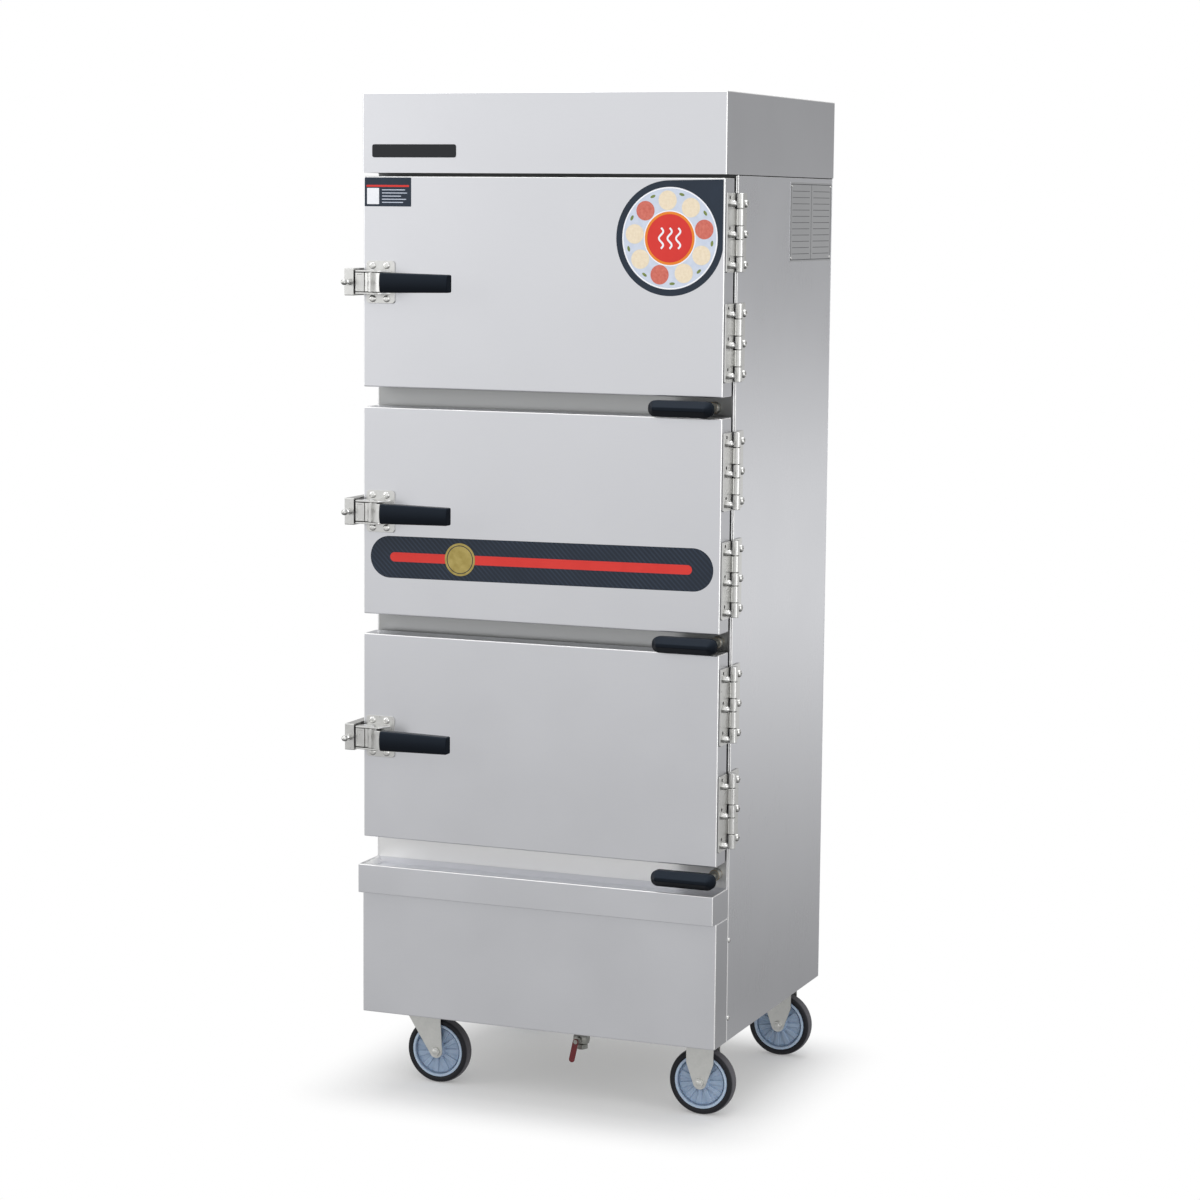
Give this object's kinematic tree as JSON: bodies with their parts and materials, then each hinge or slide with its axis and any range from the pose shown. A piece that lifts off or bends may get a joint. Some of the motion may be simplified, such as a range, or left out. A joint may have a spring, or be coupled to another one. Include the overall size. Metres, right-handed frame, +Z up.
{
  "type": "commercial steamer",
  "caption": "Stainless steam cabinet on casters: stacked hinged doors with lever latches and steam valves, drip gutter, tray compartments and a drain.",
  "frame": {"origin": "centre of the object's footprint at floor level", "axes": "+Z up, -Y towards the doors' front, +X towards the hinge side"},
  "size_m": [0.736, 0.684, 1.8508],
  "materials": {
    "front_stainless": "brushed number four finish",
    "side_stainless": "brushed number four finish",
    "liner_stainless": "mill finish",
    "polished_steel": "polished casting",
    "zinc_steel": "zinc plated pressing",
    "black_bakelite": "compression moulded, half gloss",
    "seal_rubber": "moulded silicone",
    "brass_pipework": "turned and threaded",
    "caster_wheel": "moulded hub with a dark tread",
    "red_dip": "vinyl dipped steel strip"
  },
  "bodies": {
    "cabinet": {"back_panel": "side_stainless", "base_frame": "zinc_steel", "caster_front_left_plate": "zinc_steel", "caster_front_right_fork": "zinc_steel", "caster_rear_left_plate": "zinc_steel", "caster_rear_right_fork": "zinc_steel", "compartment_1_liner": "liner_stainless", "compartment_2_liner": "liner_stainless", "compartment_3_liner": "liner_stainless", "drain_valve_body": "brass_pipework", "drip_gutter": "front_stainless", "front_frame": "front_stainless", "header_cap": "front_stainless", "hinge_1_lower_body_leaf": "polished_steel", "hinge_1_upper_body_leaf": "polished_steel", "hinge_2_lower_body_leaf": "polished_steel", "hinge_2_upper_body_leaf": "polished_steel", "hinge_3_lower_body_leaf": "polished_steel", "hinge_3_upper_body_leaf": "polished_steel", "keeper_1": "polished_steel", "keeper_2": "polished_steel", "keeper_3": "polished_steel", "lower_panel": "front_stainless", "side_panel_left": "side_stainless", "side_panel_right": "side_stainless", "steam_riser": "brass_pipework"},
    "door_1": {"door_1_shell": "front_stainless", "door_1_liner": "liner_stainless", "door_1_gasket": "seal_rubber", "hinge_1_upper_door_leaf": "polished_steel", "hinge_1_lower_door_leaf": "polished_steel", "latch_1_base": "polished_steel"},
    "latch_lever_1": {"latch_1_lever": "polished_steel", "latch_1_grip": "black_bakelite"},
    "steam_valve_1": {"steam_valve_1_handle": "black_bakelite"},
    "door_2": {"door_2_shell": "front_stainless", "door_2_liner": "liner_stainless", "door_2_gasket": "seal_rubber", "hinge_2_upper_door_leaf": "polished_steel", "hinge_2_lower_door_leaf": "polished_steel", "latch_2_base": "polished_steel"},
    "latch_lever_2": {"latch_2_lever": "polished_steel", "latch_2_grip": "black_bakelite"},
    "steam_valve_2": {"steam_valve_2_handle": "black_bakelite"},
    "door_3": {"door_3_shell": "front_stainless", "door_3_liner": "liner_stainless", "door_3_gasket": "seal_rubber", "hinge_3_upper_door_leaf": "polished_steel", "hinge_3_lower_door_leaf": "polished_steel", "latch_3_base": "polished_steel"},
    "latch_lever_3": {"latch_3_lever": "polished_steel", "latch_3_grip": "black_bakelite"},
    "steam_valve_3": {"steam_valve_3_handle": "black_bakelite"},
    "drain_handle": {"drain_lever": "red_dip"},
    "caster_front_left_swivel": {"caster_front_left_fork": "zinc_steel"},
    "caster_front_left_roller": {"caster_front_left_wheel": "caster_wheel"},
    "caster_front_right_roller": {"caster_front_right_wheel": "caster_wheel"},
    "caster_rear_left_swivel": {"caster_rear_left_fork": "zinc_steel"},
    "caster_rear_left_roller": {"caster_rear_left_wheel": "caster_wheel"},
    "caster_rear_right_roller": {"caster_rear_right_wheel": "caster_wheel"}
  },
  "joints": [
    {"name": "door_1_hinge", "type": "hinge", "parent": "cabinet", "child": "door_1", "pos_m": [0.3605, -0.23, 1.5113], "axis": [0, 0, 1], "range_deg": [0, 150]},
    {"name": "latch_1_pivot", "type": "hinge", "parent": "door_1", "child": "latch_lever_1", "pos_m": [-0.3145, -0.31, 1.5113], "axis": [0, 0, -1], "range_deg": [0, 35]},
    {"name": "steam_valve_1_turn", "type": "hinge", "parent": "cabinet", "child": "steam_valve_1", "pos_m": [0.3165, -0.284, 1.2998], "axis": [0, 1, 0], "range_deg": [0, 90]},
    {"name": "door_2_hinge", "type": "hinge", "parent": "cabinet", "child": "door_2", "pos_m": [0.3605, -0.23, 1.0938], "axis": [0, 0, 1], "range_deg": [0, 150]},
    {"name": "latch_2_pivot", "type": "hinge", "parent": "door_2", "child": "latch_lever_2", "pos_m": [-0.3145, -0.31, 1.0938], "axis": [0, 0, -1], "range_deg": [0, 35]},
    {"name": "steam_valve_2_turn", "type": "hinge", "parent": "cabinet", "child": "steam_valve_2", "pos_m": [0.3285, -0.284, 0.8823], "axis": [0, 1, 0], "range_deg": [0, 90]},
    {"name": "door_3_hinge", "type": "hinge", "parent": "cabinet", "child": "door_3", "pos_m": [0.3605, -0.23, 0.6763], "axis": [0, 0, 1], "range_deg": [0, 150]},
    {"name": "latch_3_pivot", "type": "hinge", "parent": "door_3", "child": "latch_lever_3", "pos_m": [-0.3145, -0.31, 0.6763], "axis": [0, 0, -1], "range_deg": [0, 35]},
    {"name": "steam_valve_3_turn", "type": "hinge", "parent": "cabinet", "child": "steam_valve_3", "pos_m": [0.3315, -0.284, 0.4613], "axis": [0, 1, 0], "range_deg": [0, 90]},
    {"name": "drain_lever_turn", "type": "hinge", "parent": "cabinet", "child": "drain_handle", "pos_m": [0.0635, -0.2345, 0.1245], "axis": [0, 1, 0], "range_deg": [0, 90]},
    {"name": "front_left_caster_swivel", "type": "hinge", "parent": "cabinet", "child": "caster_front_left_swivel", "pos_m": [-0.2655, -0.1715, 0.1412], "axis": [0, 0, 1], "continuous": true},
    {"name": "front_left_wheel_spin", "type": "hinge", "parent": "caster_front_left_swivel", "child": "caster_front_left_roller", "pos_m": [-0.2395, -0.1715, 0.0625], "axis": [0, 1, 0], "continuous": true},
    {"name": "front_right_wheel_spin", "type": "hinge", "parent": "cabinet", "child": "caster_front_right_roller", "pos_m": [0.2915, -0.1715, 0.0625], "axis": [0, 1, 0], "continuous": true},
    {"name": "rear_left_caster_swivel", "type": "hinge", "parent": "cabinet", "child": "caster_rear_left_swivel", "pos_m": [-0.2655, 0.272, 0.1412], "axis": [0, 0, 1], "continuous": true},
    {"name": "rear_left_wheel_spin", "type": "hinge", "parent": "caster_rear_left_swivel", "child": "caster_rear_left_roller", "pos_m": [-0.2395, 0.272, 0.0625], "axis": [0, 1, 0], "continuous": true},
    {"name": "rear_right_wheel_spin", "type": "hinge", "parent": "cabinet", "child": "caster_rear_right_roller", "pos_m": [0.2915, 0.272, 0.0625], "axis": [0, 1, 0], "continuous": true}
  ]
}
